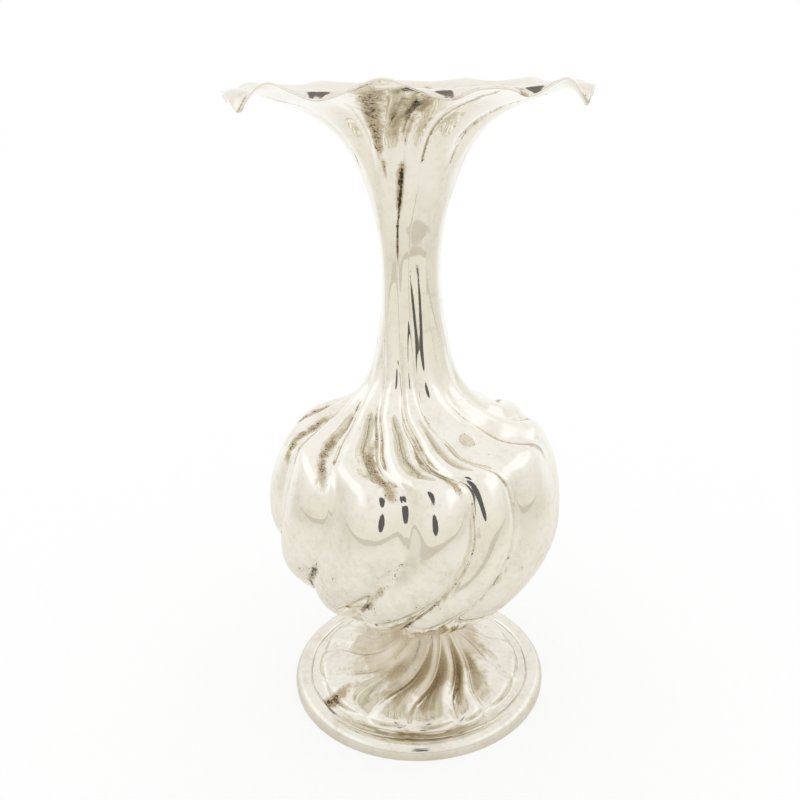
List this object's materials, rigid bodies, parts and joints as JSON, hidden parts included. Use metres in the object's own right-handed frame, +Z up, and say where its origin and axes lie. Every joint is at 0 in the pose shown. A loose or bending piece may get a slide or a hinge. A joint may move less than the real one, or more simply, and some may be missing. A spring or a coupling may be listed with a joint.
{
  "type": "trumpet vase",
  "caption": "Swirl-fluted silver vase: a lobed bulb on a domed foot, a slender neck and a flared mouth with a wavy rim, for cut flowers.",
  "frame": {"origin": "centre of the foot ring's underside, on the surface that the vase stands on", "axes": "+Z up along the vase's axis; the side that the picture shows faces -Y, with +X to its right"},
  "size_m": [0.1342, 0.134, 0.2625],
  "materials": {
    "silver": "bright polished silver, lightly tarnished in the flutes"
  },
  "bodies": {
    "root": {"foot_ring": "silver", "foot_dome": "silver", "stem_collar": "silver", "bowl": "silver", "shoulder": "silver", "neck": "silver", "trumpet_mouth": "silver"}
  },
  "joints": []
}
